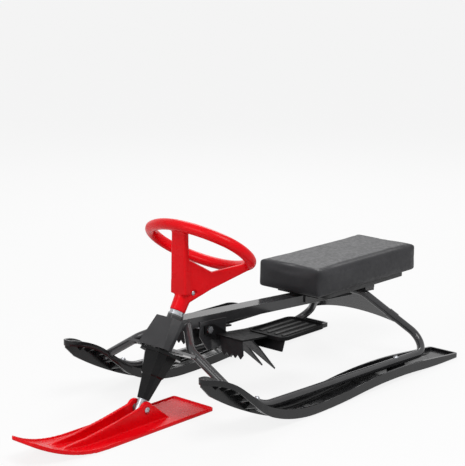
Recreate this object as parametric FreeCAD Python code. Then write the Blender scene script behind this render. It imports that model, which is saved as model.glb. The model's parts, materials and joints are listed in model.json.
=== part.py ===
import FreeCAD, Part
import math
import os

# Steering sled in millimetres: +X forward, +Y to the rider's left, +Z up.
# The origin lies on the ground, midway between the front tip and the rear edge of the seat.

Vector = FreeCAD.Vector

# Overall layout
ski_span = 1236.0
track_width = 415.0
rear_end_x = -ski_span / 2
front_tip_x = ski_span / 2
ski_y = track_width / 2

# Clearances shared by all pieces
cut_overrun = 6.0
face_gap = 0.3
running_clearance = 0.05

# Steering axis through the front ski's pivot
pivot_setback = 337.0
pivot_x = front_tip_x - pivot_setback
pivot_z = 37.0
rake_deg = 31.5

# Column tube, collars and bushes, placed along the steering axis from the pivot
column_radius = 11.0
column_wall = 2.5
column_foot = 13.0
column_top = 293.5
cover_bottom = 21.0
cover_step = 73.5
cover_step_height = 4.0
cover_top = 125.5
cover_ring = 6.5
cover_bottom_half = 13.5
cover_waist_half = 22.0
cover_step_half = 25.0
cover_top_half = 35.0
cover_flange_half = 46.0
cover_depth_share = 0.86
cover_chamfer_share = 0.42
collar_radius = 19.0
bush_flange = 3.0
bush_wall = 3.5
bush_length = 18.0
head_wall = 3.5
head_bottom = 135.5
head_top = 216.5
upper_washer_thick = 3.0
upper_washer_radius = 16.0

# Cowl over the head tube
cowl_wall = 3.0
cowl_bottom = 134.5
cowl_top = 206.5
cowl_front_bottom = 41.0
cowl_front_top = 33.0
cowl_front_half_bottom = 38.0
cowl_front_half_top = 24.0
cowl_side_half_bottom = 43.0
cowl_side_half_top = 39.0
cowl_side_front_bottom = 27.0
cowl_side_front_top = 16.0
cowl_back_bottom = 17.0
cowl_back_top = 6.0

# Head brace plate between the head tube and the front legs
brace_bottom = 137.5
brace_thick = 6.0
brace_half_depth = 25.0
brace_end_half_depth = 6.0
brace_half_span = 103.0

# Main beam, a rectangular tube that falls a little to the rear
beam_half_width = 20.0
beam_height = 25.0
beam_wall = 2.0
beam_behind = 105.0
beam_front_x = pivot_x - beam_behind
beam_rear_ahead = 58.0
beam_rear_x = rear_end_x + beam_rear_ahead
beam_front_top = 217.5
beam_drop = 43.726
plug_depth = 18.0
plug_cap = 4.0

# Side tubes: front leg, rail on the ski and rear leg, as corner points for the left side
side_tube_radius = 10.0
side_tube_wall = 1.8
leg_top_behind = 38.0
leg_top_x = beam_front_x - leg_top_behind
leg_top_y = 7.0
leg_top_drop = 10.5
knee_behind = 79.0
knee_x = pivot_x - knee_behind
knee_y = 81.0
knee_z = 166.5
ski_bend_behind = 5.0
ski_bend_x = knee_x - ski_bend_behind
ski_bend_z = 90.0
rail_front_behind = 99.0
rail_front_x = ski_bend_x - rail_front_behind
rail_front_z = 46.0
rail_rear_ahead = 46.0
rail_rear_x = rear_end_x + rail_rear_ahead
rail_rear_z = 26.0
rear_leg_top_ahead = 163.0
rear_leg_top_x = rear_end_x + rear_leg_top_ahead
rear_leg_top_y = 62.0
rear_leg_top_z = 172.0
rear_leg_end_z = 174.0
knee_bend = 36.0
ski_bend = 42.0
rail_bend = 110.0
rear_bend = 46.0
rear_top_bend = 34.0
rear_joint_share = 0.46
rear_socket_length = 24.0
rear_socket_wall = 1.6

# Arched gusset between the rear legs
gusset_thick = 3.0
gusset_foot_y = 155.0
gusset_arch_rise = 37.0

# Seat
seat_length = 416.0
seat_overhang = 26.0
seat_rear_x = rear_end_x - seat_overhang
seat_half_width = 97.0
seat_rise = 9.0
seat_thick = 70.0
seat_corner = 10.0
board_thick = 10.0
board_inset = 9.0
board_end_inset = 45.0
board_corner = 12.0
seat_bracket_length = 40.0
seat_bracket_half_width = 64.0
seat_bracket_wall = 4.0
seat_bracket_front_inset = 62.0
seat_bracket_rear_inset = 104.0
seat_bolt_radius = 3.0
seat_bolt_head_radius = 6.0
seat_bolt_head = 4.0
seat_bolt_y = 48.0
seat_bolt_up = 5.0

# Rear skis: stations of the underside as places along X with slopes in degrees
ski_width = 85.0
ski_wall_low = 2.5
ski_floor_low = 4.5
ski_floor_high = 7.0
ski_rim_high = 24.5
ski_wall = 5.5
heel_rim_high = 13.0
heel_fall_length = 170.0
ski_heel_run = 43.0
ski_camber_slope_deg = 4.3
ski_upturn_knee_deg = 20.0
ski_tip_ahead = 112.0
ski_tip_x = ski_bend_x + ski_tip_ahead
ski_upturn_behind = 349.0
ski_upturn_x = ski_tip_x - ski_upturn_behind
ski_knee_behind = 203.0
ski_upturn_knee_x = ski_tip_x - ski_knee_behind
ski_flat_run = 20.0
ski_camber_end_x = ski_upturn_x - ski_flat_run
ski_tip_deg = 34.5
rim_start_behind = 239.0
rim_start_x = ski_tip_x - rim_start_behind
rim_start_deg = 14.5
rim_rise_behind = 191.0
rim_rise_x = ski_tip_x - rim_rise_behind
rim_rise_deg = 22.0
rim_steep_behind = 144.0
rim_steep_x = ski_tip_x - rim_steep_behind
rim_steep_deg = 37.0
rim_crest_behind = 94.0
rim_crest_x = ski_tip_x - rim_crest_behind
rim_crest_deg = 38.0
rim_ease_behind = 47.0
rim_ease_x = ski_tip_x - rim_ease_behind
rim_ease_deg = 20.0
rim_tip_deg = 4.0
floor_steep_deg = 40.5
floor_crest_deg = 41.5
ski_taper_length = 169.0
ski_taper_x = ski_tip_x - ski_taper_length
ski_tip_half = 14.0
ski_tip_round = 11.0
ski_heel_corner = 9.0
keel_half_width = 7.0
keel_blade_half = 2.0
keel_wide_behind = 150.0
keel_wide_x = ski_tip_x - keel_wide_behind
keel_nose = 26.0
saddle_half_width = 8.0
saddle_length = 54.0
saddle_front_behind = 181.0
saddle_front_x = ski_tip_x - saddle_front_behind
saddle_rear_ahead = 218.0
saddle_rear_x = rear_end_x + saddle_rear_ahead
saddle_height = 15.0
ski_screw_radius = 3.0
ski_screw_head_radius = 6.5
ski_screw_head = 3.6

# Front ski
front_ski_heel = 175.0
front_ski_rear_x = pivot_x - front_ski_heel
front_ski_half_width = 62.5
front_ski_tip_half = 36.0
front_ski_plate = 4.0
front_ski_rim = 9.0
front_ski_rim_wall = 4.0
front_ski_flat = 155.0
front_ski_upturn_x = pivot_x + front_ski_flat
front_ski_tip_deg = 30.7
front_ski_parallel = 149.0
front_ski_taper_x = pivot_x + front_ski_parallel
front_ski_corner = 7.0
front_ski_tip_corner = 12.0
ridge_inner = 14.5
ridge_outer = 23.0
ridge_foot = 55.0
ear_radius = 19.0
ridge_heel = 76.0
ridge_rear_x = pivot_x - ridge_heel
ridge_reach = 249.0
ridge_front_x = pivot_x + ridge_reach
ridge_sink = 2.0
ridge_ear_behind = 23.0
ridge_ear_rear_x = pivot_x - ridge_ear_behind
ridge_ear_ahead = 17.0
ridge_ear_front_x = pivot_x + ridge_ear_ahead
ridge_mid_ahead = 89.0
ridge_mid_x = pivot_x + ridge_mid_ahead
ridge_fore_ahead = 174.0
ridge_fore_x = pivot_x + ridge_fore_ahead
ridge_ear_z = 42.0
ridge_shoulder_z = 47.0
ridge_mid_z = 34.0
ridge_fore_z = 22.0
ridge_tip_rise = 1.0
flank_behind = 53.0
flank_rear_x = pivot_x - flank_behind
flank_rear_z = 17.0
flank_ear_z = 40.0
flank_edge_rise = 7.0
pivot_bolt_radius = 4.0
pivot_head_radius = 7.5
pivot_head = 4.5
pivot_nut_height = 6.0

# Steering wheel
wheel_half_width = 137.0
wheel_half_depth = 89.0
wheel_end_bend = 66.0
wheel_rim_radius = 13.0
wheel_centre_along = 386.5
wheel_centre_forward = 10.0
wheel_extra_tilt_deg = 7.3
hub_bottom = 229.5
hub_radius_bottom = 18.0
hub_radius_top = 20.0
hub_top = 301.5
spoke_behind = 122.0
spoke_front_x = pivot_x - spoke_behind
spoke_thick = 15.0
spoke_bottom_z = 271.0
spoke_top_z = 424.0
spoke_bottom_half = 23.0
spoke_top_half = 20.0
arm_thick = 13.0
arm_root_behind = 16.0
arm_root_x = spoke_front_x - arm_root_behind
arm_root_y = 13.0
arm_root_low = 249.0
arm_root_high = 352.0
arm_mid_behind = 57.0
arm_mid_x = spoke_front_x - arm_mid_behind
arm_mid_y = 49.0
arm_mid_low = 282.0
arm_mid_high = 321.0
arm_end_behind = 113.0
arm_end_x = spoke_front_x - arm_end_behind
arm_end_y = 116.0
arm_end_low = 329.0
arm_end_high = 345.0
wheel_bolt_along = 278.5
wheel_bolt_radius = 3.0
wheel_bolt_head_radius = 5.5
wheel_bolt_head = 3.5
wheel_bolt_reach = 25.0

# Brakes
bracket_gap = 28.0
bracket_front_x = leg_top_x - bracket_gap
bracket_length = 88.0
bracket_rear_x = bracket_front_x - bracket_length
bracket_bottom_z = 130.0
bracket_front_z = 165.0
bracket_wall = 3.0
bracket_nose_behind = 26.0
bracket_nose_x = bracket_front_x - bracket_nose_behind
rod_behind = 24.0
rod_x = bracket_front_x - rod_behind
rod_z = 180.0
rod_radius = 5.0
rod_nut_height = 6.0
rod_nut_radius = 8.5
arm_plate = 4.5
arm_ahead = 12.0
arm_above = 10.0
arm_front_drop = 8.0
arm_shoulder_behind = 16.0
arm_rear_behind = 66.0
arm_rear_high_drop = 20.0
arm_rear_low_drop = 32.0
arm_belly_behind = 24.0
arm_belly_drop = 30.0
tread_behind = 116.0
tread_front_x = rod_x - tread_behind
tread_length = 162.0
tread_rear_x = tread_front_x - tread_length
tread_bottom_z = 150.0
tread_thick = 4.0
tread_rim_height = 9.0
tread_rim_wall = 4.0
tread_inner_y = 40.0
tread_outer_y = 150.0
tread_corner = 20.0
tread_lip_height = 24.0
tread_lip_lean = 10.0
tongue_behind = 24.0
tongue_front_x = rod_x - tongue_behind
tongue_front_z = 161.0
tongue_outer_y = 106.0
strip_length = 120.0
strip_width = 8.0
strip_height = 2.5
strip_count = 4
strip_inset = 16.0
strip_rear_x = tread_rear_x + strip_inset
blade_inner_y = 40.0
blade_outer_y = 104.0
blade_length = 46.0
blade_thick = 3.5
blade_deg = 84.0
blade_teeth = 4
blade_tooth_depth = 10.0
claw_behind = 56.0
claw_start_x = rod_x - claw_behind
claw_inner_y = 29.0
claw_outer_y = 106.0
claw_length = 147.0
claw_thick = 4.0
claw_deg = 41.7
claw_teeth = 2
claw_tooth_depth = 108.0

nodes = {}


def axis_placement():
    turn = FreeCAD.Rotation(Vector(0, 1, 0), -rake_deg)
    return FreeCAD.Placement(Vector(pivot_x, 0, pivot_z), turn)


def raked(shape):
    # Local X is forward of the steering axis, Z runs up along it and the pivot is the origin.
    placed = shape.copy()
    placed.Placement = axis_placement().multiply(shape.Placement)
    return placed


def box_between(x_low, x_high, y_low, y_high, z_low, z_high):
    corner = Vector(x_low, y_low, z_low)
    return Part.makeBox(x_high - x_low, y_high - y_low, z_high - z_low, corner)


def rod_between(start, end, radius):
    return Part.makeCylinder(radius, (end - start).Length, start, end - start)


def polygon_wire(points):
    return Part.makePolygon(points + points[:1])


def prism(points, path):
    return Part.Face(polygon_wire(points)).extrude(path)


def fused(shapes):
    whole = shapes[0].multiFuse(shapes[1:])
    return whole.removeSplitter()


def mirrored(shape):
    return shape.mirror(Vector(0, 0, 0), Vector(0, 1, 0))


def hexagon(start, direction, radius, height):
    # A nut or bolt head: six flats around the given direction.
    placement = FreeCAD.Placement(start, FreeCAD.Rotation(Vector(0, 0, 1), direction))
    corners = []
    for index in range(6):
        angle = math.radians(60 * index)
        corners.append(Vector(radius * math.cos(angle), radius * math.sin(angle), 0))
    nut = prism(corners, Vector(0, 0, height))
    nut.Placement = placement
    return nut


def dome_head(start, direction, radius, height):
    # A shallow domed screw head on a short round rim.
    rim = height / 3
    ball_radius = (radius ** 2 + (height - rim) ** 2) / (2 * (height - rim))
    rim_disc = Part.makeCylinder(radius, height)
    ball = Part.makeSphere(ball_radius, Vector(0, 0, height - ball_radius))
    head = rim_disc.common(ball)
    head.Placement = FreeCAD.Placement(start, FreeCAD.Rotation(Vector(0, 0, 1), direction))
    return head


def bent_path(points, bends):
    # Straight runs joined by tangent arcs, one bend radius for each inner point.
    edges = []
    start = points[0]
    for before, corner, after, radius in zip(points, points[1:], points[2:], bends):
        inward = (before - corner).normalize()
        outward = (after - corner).normalize()
        half = inward.getAngle(outward) / 2
        reach = radius / math.tan(half)
        middle_way = (inward + outward).normalize()
        middle = corner + middle_way * (radius / math.sin(half) - radius)
        arc_start = corner + inward * reach
        arc_end = corner + outward * reach
        edges.append(Part.LineSegment(start, arc_start).toShape())
        edges.append(Part.Arc(arc_start, middle, arc_end).toShape())
        start = arc_end
    edges.append(Part.LineSegment(start, points[-1]).toShape())
    return Part.Wire(edges)


def bent_rod(points, bends, radius):
    section = Part.Wire(Part.makeCircle(radius, points[0], points[1] - points[0]))
    return bent_path(points, bends).makePipeShell([section], True, False)


def rounded_rectangle(x_low, x_high, y_half, corner, z):
    edges = []
    diagonal = corner * (1 - math.sqrt(2) / 2)
    corners = [(x_low, -y_half, 1, 1), (x_high, -y_half, -1, 1),
               (x_high, y_half, -1, -1), (x_low, y_half, 1, -1)]
    ends = []
    for x, y, into_x, into_y in corners:
        along_x = Vector(x + into_x * corner, y, z)
        along_y = Vector(x, y + into_y * corner, z)
        middle = Vector(x + into_x * diagonal, y + into_y * diagonal, z)
        first, last = (along_y, along_x) if into_x == into_y else (along_x, along_y)
        ends.append((first, middle, last))
    for index, (first, middle, last) in enumerate(ends):
        edges.append(Part.Arc(first, middle, last).toShape())
        edges.append(Part.LineSegment(last, ends[(index + 1) % len(ends)][0]).toShape())
    return Part.Wire(edges)


# Curved undersides of skis


def curve_points(stations, start_z):
    # Each station is a place along X with a slope. Between two stations the curve is one arc or a line.
    x, slope_deg = stations[0]
    z = start_z
    points = [(Vector(x, 0, z), math.radians(slope_deg))]
    for next_x, next_deg in stations[1:]:
        slope = points[-1][1]
        next_slope = math.radians(next_deg)
        if abs(next_slope - slope) < math.radians(0.01):
            z_end = z + (next_x - x) * math.tan(slope)
            middle = (Vector((x + next_x) / 2, 0, (z + z_end) / 2), slope)
        else:
            radius = (next_x - x) / (math.sin(next_slope) - math.sin(slope))
            z_end = z + radius * (math.cos(slope) - math.cos(next_slope))
            half = (slope + next_slope) / 2
            middle_x = x + radius * (math.sin(half) - math.sin(slope))
            middle_z = z + radius * (math.cos(slope) - math.cos(half))
            middle = (Vector(middle_x, 0, middle_z), half)
        points.append(middle)
        points.append((Vector(next_x, 0, z_end), next_slope))
        x, z = next_x, z_end
    return points


def offset_points(stations, height):
    shifted = []
    for point, slope in curve_points(stations, 0):
        shifted.append(point + Vector(-math.sin(slope), 0, math.cos(slope)) * height)
    return shifted


def curve_edges(points):
    edges = []
    for index in range(0, len(points) - 1, 2):
        first, middle, last = points[index:index + 3]
        straight = (middle - (first + last) * 0.5).Length < running_clearance / 10
        curve = Part.LineSegment(first, last) if straight else Part.Arc(first, middle, last)
        edges.append(curve.toShape())
    return edges


def side_solid(below, above, y_low, y_high):
    # The solid between a lower and an upper curve, extended across.
    edges = curve_edges(below) + curve_edges(above)
    edges.append(Part.LineSegment(below[0], above[0]).toShape())
    edges.append(Part.LineSegment(below[-1], above[-1]).toShape())
    outline = Part.Wire(Part.__sortEdges__(edges))
    face = Part.Face(outline)
    face.translate(Vector(0, y_low, 0))
    return face.extrude(Vector(0, y_high - y_low, 0))


def ski_band(stations, low, high, y_low, y_high):
    # The solid between two heights above the underside, measured square to it.
    return side_solid(offset_points(stations, low), offset_points(stations, high), y_low, y_high)


def height_at(stations, start_z, x):
    # Height of a curve at one place along X.
    points = curve_points(stations, start_z)
    for index in range(0, len(points) - 2, 2):
        first, slope = points[index]
        last, next_slope = points[index + 2]
        if first.x <= x <= last.x:
            if abs(next_slope - slope) < math.radians(0.01):
                return first.z + (x - first.x) * math.tan(slope)
            radius = (last.x - first.x) / (math.sin(next_slope) - math.sin(slope))
            here = math.asin(math.sin(slope) + (x - first.x) / radius)
            return first.z + radius * (math.cos(slope) - math.cos(here))
    return points[-1][0].z


def plan_prism(wire, low, high):
    face = Part.Face(wire)
    face.translate(Vector(0, 0, low))
    return face.extrude(Vector(0, 0, high - low))


# Main beam


def beam_top_z(x):
    return beam_front_top - (beam_front_x - x) * beam_drop / (beam_front_x - beam_rear_x)


def beam_block(inset, x_low, x_high):
    drop = beam_height * math.hypot(beam_drop, beam_front_x - beam_rear_x) / (beam_front_x - beam_rear_x)
    side = []
    for x, share in ((x_low, 1), (x_high, 1), (x_high, 0), (x_low, 0)):
        z = beam_top_z(x) - drop * share + inset * (2 * share - 1)
        side.append(Vector(x, -beam_half_width + inset, z))
    return prism(side, Vector(0, 2 * (beam_half_width - inset), 0))


head_radius = column_radius + running_clearance + bush_wall + head_wall
head_inner = head_radius - head_wall
head_outer_rod = raked(Part.makeCylinder(head_radius, head_top - head_bottom, Vector(0, 0, head_bottom)))
head_long_rod = raked(Part.makeCylinder(head_radius, head_top - head_bottom + 2 * cut_overrun,
                                        Vector(0, 0, head_bottom - cut_overrun)))
head_bore = raked(Part.makeCylinder(head_inner, head_top - head_bottom + 2 * cut_overrun,
                                    Vector(0, 0, head_bottom - cut_overrun)))
nodes["head_tube"] = head_outer_rod.cut(head_bore)

beam_outer = beam_block(0, beam_rear_x, beam_front_x).cut(head_long_rod)
beam_pieces = sorted(beam_outer.Solids, key=lambda piece: piece.Volume)
beam_outer = beam_pieces[-1]
beam_inside = beam_block(beam_wall, beam_rear_x - cut_overrun, bracket_front_x)
nodes["main_beam"] = beam_outer.cut(beam_inside)

plug_body = beam_block(beam_wall, beam_rear_x, beam_rear_x + plug_depth)
plug_head = beam_block(0, beam_rear_x - plug_cap, beam_rear_x)
nodes["beam_plug"] = fused([plug_body, plug_head])

# Bushes in the head tube and the column that turns in them


def bush(inward_start, flange_start):
    length_start = min(inward_start, flange_start)
    sleeve = Part.makeCylinder(head_inner, bush_length, Vector(0, 0, inward_start))
    flange = Part.makeCylinder(head_radius, bush_flange, Vector(0, 0, flange_start))
    bore = Part.makeCylinder(column_radius + running_clearance, bush_length + bush_flange + 2 * cut_overrun,
                             Vector(0, 0, length_start - cut_overrun))
    return raked(sleeve.fuse(flange).removeSplitter().cut(bore))


nodes["lower_bush"] = bush(head_bottom, head_bottom - bush_flange)
nodes["upper_bush"] = bush(head_top - bush_length, head_top)

column_outer = Part.makeCylinder(column_radius, column_top + column_foot, Vector(0, 0, -column_foot))
column_inner = Part.makeCylinder(column_radius - column_wall, column_top + column_foot + 2 * cut_overrun,
                                 Vector(0, 0, -column_foot - cut_overrun))
pivot_hole_radius = pivot_bolt_radius + running_clearance
pivot_hole = Part.makeCylinder(pivot_hole_radius, 2 * ridge_inner, Vector(0, -ridge_inner, 0),
                               Vector(0, 1, 0))
wheel_bolt_hole = Part.makeCylinder(wheel_bolt_radius, 4 * hub_radius_top,
                                    Vector(0, -2 * hub_radius_top, wheel_bolt_along), Vector(0, 1, 0))
nodes["column_tube"] = raked(column_outer.cut(column_inner).cut(pivot_hole).cut(wheel_bolt_hole))


def collar(bottom, top, radius):
    ring = Part.makeCylinder(radius, top - bottom, Vector(0, 0, bottom))
    bore = Part.makeCylinder(column_radius, top - bottom + 2 * cut_overrun,
                             Vector(0, 0, bottom - cut_overrun))
    return raked(ring.cut(bore))


nodes["lower_collar"] = collar(cover_top, head_bottom - bush_flange - face_gap, collar_radius)
washer_bottom = head_top + bush_flange + face_gap
washer_middle = washer_bottom + upper_washer_thick
nodes["upper_washer"] = collar(washer_bottom, washer_middle, head_radius)
nodes["wheel_collar"] = collar(washer_middle, hub_bottom, upper_washer_radius)


def cover_section(height, half_width):
    half_depth = half_width * cover_depth_share
    chamfer = half_width * cover_chamfer_share
    corners = []
    for side_x, side_y in ((1, -1), (1, 1), (-1, 1), (-1, -1)):
        flat_x = Vector(side_x * half_depth, side_y * (half_width - chamfer), height)
        flat_y = Vector(side_x * (half_depth - chamfer), side_y * half_width, height)
        corners += [flat_x, flat_y] if side_x == side_y else [flat_y, flat_x]
    return polygon_wire(corners)


cover_lower = Part.makeLoft([cover_section(cover_bottom, cover_bottom_half),
                             cover_section(cover_step, cover_waist_half),
                             cover_section(cover_step + cover_step_height, cover_step_half),
                             cover_section(cover_top, cover_top_half)], True, True)
cover_ring_block = Part.Face(cover_section(cover_top, cover_flange_half)).extrude(Vector(0, 0, cover_ring))
collar_seat = Part.makeCylinder(collar_radius, cover_ring + cut_overrun, Vector(0, 0, cover_top))
cover_body = fused([cover_lower, cover_ring_block])
nodes["column_cover"] = raked(cover_body.cut(column_outer).cut(collar_seat))

# Steering wheel: an oval rim, a hub, an upright front spoke and two arms to the rear corners


def oval_rim():
    flat_bend = ((wheel_half_width ** 2 - 2 * wheel_half_width * wheel_end_bend + wheel_half_depth ** 2)
                 / (2 * (wheel_half_depth - wheel_end_bend)))
    end_y = wheel_half_width - wheel_end_bend
    flat_x = flat_bend - wheel_half_depth
    turn_deg = math.degrees(math.atan2(end_y, flat_x))
    pieces = []
    for side in (-1, 1):
        flat_centre = Vector(-side * flat_x, 0, 0)
        flat_start = flat_centre + Vector(side * flat_bend, 0, 0)
        flat_ring = Part.Face(Part.Wire(Part.makeCircle(wheel_rim_radius, flat_start, Vector(0, 1, 0))))
        flat_ring.rotate(flat_centre, Vector(0, 0, 1), -turn_deg)
        pieces.append(flat_ring.revolve(flat_centre, Vector(0, 0, 1), 2 * turn_deg))
        end_centre = Vector(0, side * end_y, 0)
        end_start = end_centre + Vector(0, side * wheel_end_bend, 0)
        end_ring = Part.Face(Part.Wire(Part.makeCircle(wheel_rim_radius, end_start, Vector(1, 0, 0))))
        end_ring.rotate(end_centre, Vector(0, 0, 1), turn_deg - 90)
        pieces.append(end_ring.revolve(end_centre, Vector(0, 0, 1), 180 - 2 * turn_deg))
    rim = fused(pieces)
    rim.rotate(Vector(0, 0, 0), Vector(0, 1, 0), -wheel_extra_tilt_deg)
    rim.translate(Vector(wheel_centre_forward, 0, wheel_centre_along))
    return raked(rim)


def upright_section(x, y, low, high, thick):
    # A flat section that faces forward and outward, across an arm.
    across = Vector(arm_end_x - arm_root_x, arm_end_y - arm_root_y, 0).normalize()
    side = Vector(-across.y, across.x, 0) * (thick / 2)
    foot = Vector(x, y, low)
    head = Vector(x, y, high)
    return polygon_wire([foot - side, foot + side, head + side, head - side])


def wheel_arm():
    return Part.makeLoft([upright_section(arm_root_x, arm_root_y, arm_root_low, arm_root_high, arm_thick),
                          upright_section(arm_mid_x, arm_mid_y, arm_mid_low, arm_mid_high, arm_thick),
                          upright_section(arm_end_x, arm_end_y, arm_end_low, arm_end_high, arm_thick)],
                         True, True)


def front_spoke():
    foot = polygon_wire([Vector(spoke_front_x - spoke_thick, -spoke_bottom_half, spoke_bottom_z),
                         Vector(spoke_front_x, -spoke_bottom_half, spoke_bottom_z),
                         Vector(spoke_front_x, spoke_bottom_half, spoke_bottom_z),
                         Vector(spoke_front_x - spoke_thick, spoke_bottom_half, spoke_bottom_z)])
    head = polygon_wire([Vector(spoke_front_x - spoke_thick, -spoke_top_half, spoke_top_z),
                         Vector(spoke_front_x, -spoke_top_half, spoke_top_z),
                         Vector(spoke_front_x, spoke_top_half, spoke_top_z),
                         Vector(spoke_front_x - spoke_thick, spoke_top_half, spoke_top_z)])
    return Part.makeLoft([foot, head], True, True)


hub = raked(Part.makeCone(hub_radius_bottom, hub_radius_top, hub_top - hub_bottom, Vector(0, 0, hub_bottom)))
wheel_solid = fused([oval_rim(), hub, front_spoke(), wheel_arm(), mirrored(wheel_arm())])
nodes["steering_wheel"] = wheel_solid.cut(raked(column_outer)).cut(raked(wheel_bolt_hole))
bolt_seat = Part.makeCylinder(wheel_bolt_head_radius + face_gap, 2 * hub_radius_top,
                              Vector(0, wheel_bolt_reach, wheel_bolt_along), Vector(0, 1, 0))
nut_seat = Part.makeCylinder(wheel_bolt_head_radius + face_gap, 2 * hub_radius_top,
                             Vector(0, -wheel_bolt_reach, wheel_bolt_along), Vector(0, -1, 0))
nodes["steering_wheel"] = nodes["steering_wheel"].cut(raked(bolt_seat)).cut(raked(nut_seat))
wheel_shank = Part.makeCylinder(wheel_bolt_radius, 2 * wheel_bolt_reach + wheel_bolt_head,
                                Vector(0, -wheel_bolt_reach - wheel_bolt_head, wheel_bolt_along),
                                Vector(0, 1, 0))
wheel_head = dome_head(Vector(0, wheel_bolt_reach, wheel_bolt_along), Vector(0, 1, 0), wheel_bolt_head_radius,
                       wheel_bolt_head)
nodes["wheel_bolt"] = raked(wheel_shank.fuse(wheel_head).removeSplitter())
wheel_nut = hexagon(Vector(0, -wheel_bolt_reach, wheel_bolt_along), Vector(0, -1, 0), wheel_bolt_head_radius,
                    wheel_bolt_head)
nodes["wheel_nut"] = raked(wheel_nut.cut(wheel_shank))

# Front ski with rim, ridges and ears

front_stations = [(front_ski_rear_x, 0.0), (front_ski_upturn_x, 0.0), (front_tip_x, front_ski_tip_deg)]


def front_ski_outline():
    reach = front_tip_x - front_ski_tip_corner
    narrowing = front_ski_half_width - front_ski_tip_half
    bend = ((reach - front_ski_taper_x) ** 2 + narrowing ** 2) / (2 * narrowing)
    half_turn = math.asin((reach - front_ski_taper_x) / bend) / 2
    bend_x = front_ski_taper_x + bend * math.sin(half_turn)
    bend_y = front_ski_half_width - bend + bend * math.cos(half_turn)
    heel_diagonal = front_ski_corner * (1 - math.sqrt(2) / 2)
    tip_diagonal = front_ski_tip_corner * (1 - math.sqrt(2) / 2)
    edges = []
    for side in (-1, 1):
        heel_low = Vector(front_ski_rear_x, side * (front_ski_half_width - front_ski_corner), 0)
        heel_mid = Vector(front_ski_rear_x + heel_diagonal, side * (front_ski_half_width - heel_diagonal), 0)
        heel_high = Vector(front_ski_rear_x + front_ski_corner, side * front_ski_half_width, 0)
        taper = Vector(front_ski_taper_x, side * front_ski_half_width, 0)
        bend_mid = Vector(bend_x, side * bend_y, 0)
        tip_side = Vector(reach, side * front_ski_tip_half, 0)
        tip_mid = Vector(front_tip_x - tip_diagonal, side * (front_ski_tip_half - tip_diagonal), 0)
        tip_end = Vector(front_tip_x, side * (front_ski_tip_half - front_ski_tip_corner), 0)
        edges.append(Part.Arc(heel_low, heel_mid, heel_high).toShape())
        edges.append(Part.LineSegment(heel_high, taper).toShape())
        edges.append(Part.Arc(taper, bend_mid, tip_side).toShape())
        edges.append(Part.Arc(tip_side, tip_mid, tip_end).toShape())
    tip_y = front_ski_tip_half - front_ski_tip_corner
    heel_y = front_ski_half_width - front_ski_corner
    edges.append(Part.LineSegment(Vector(front_tip_x, -tip_y, 0), Vector(front_tip_x, tip_y, 0)).toShape())
    heel = Part.LineSegment(Vector(front_ski_rear_x, -heel_y, 0), Vector(front_ski_rear_x, heel_y, 0))
    edges.append(heel.toShape())
    return Part.Wire(Part.__sortEdges__(edges))


def ridge_top(x):
    return height_at(front_stations, 0, x) + front_ski_plate + ridge_tip_rise


ridge_line = [Vector(ridge_rear_x, ridge_inner, 0), Vector(ridge_ear_rear_x, ridge_inner, ridge_ear_z),
              Vector(ridge_ear_front_x, ridge_inner, ridge_shoulder_z),
              Vector(ridge_mid_x, ridge_inner, ridge_mid_z), Vector(ridge_fore_x, ridge_inner, ridge_fore_z),
              Vector(ridge_front_x, ridge_inner, ridge_top(ridge_front_x)),
              Vector(ridge_front_x, ridge_inner, 0)]


def flank_section(x, top_z):
    base = height_at(front_stations, 0, x)
    return polygon_wire([Vector(x, ridge_outer - ridge_sink, base + ridge_sink),
                         Vector(x, ridge_foot, base + ridge_sink),
                         Vector(x, ridge_foot, base + flank_edge_rise),
                         Vector(x, ridge_outer - ridge_sink, top_z)])


def ski_ridge():
    wall = prism(ridge_line, Vector(0, ridge_outer - ridge_inner, 0))
    ear = Part.makeCylinder(ear_radius, ridge_outer - ridge_inner, Vector(pivot_x, ridge_inner, pivot_z),
                            Vector(0, 1, 0))
    flank = Part.makeLoft([flank_section(flank_rear_x, flank_rear_z), flank_section(pivot_x, flank_ear_z),
                           flank_section(ridge_mid_x, ridge_mid_z - ridge_sink),
                           flank_section(ridge_fore_x, ridge_fore_z - ridge_sink),
                           flank_section(ridge_front_x, ridge_top(ridge_front_x))], True, True)
    above = ski_band(front_stations, ridge_sink, ski_span, 0, front_ski_half_width)
    ridge = fused([wall.common(above), ear, flank])
    return ridge.common(plan_prism(front_outline, -cut_overrun, ski_span))


front_outline = front_ski_outline()
front_high = ski_band(front_stations, 0, front_ski_rim, -front_ski_half_width, front_ski_half_width)
front_tall = front_high.BoundBox.ZMax + cut_overrun
front_blank = front_high.common(plan_prism(front_outline, -cut_overrun, front_tall))
front_pocket = ski_band(front_stations, front_ski_plate, front_ski_rim + cut_overrun, -front_ski_half_width,
                        front_ski_half_width)
front_inner = front_outline.makeOffset2D(-front_ski_rim_wall)
front_tray = front_blank.cut(front_pocket.common(plan_prism(front_inner, -cut_overrun, front_tall)))
pivot_through = Part.makeCylinder(pivot_bolt_radius, 2 * ski_width, Vector(pivot_x, -ski_width, pivot_z),
                                  Vector(0, 1, 0))
head_recess = Part.makeCylinder(pivot_head_radius + face_gap, ridge_foot,
                                Vector(pivot_x, ridge_outer, pivot_z),
                                Vector(0, 1, 0))
front_ski = fused([front_tray, ski_ridge(), mirrored(ski_ridge())])
nodes["front_ski"] = front_ski.cut(pivot_through).cut(head_recess).cut(mirrored(head_recess))

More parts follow.
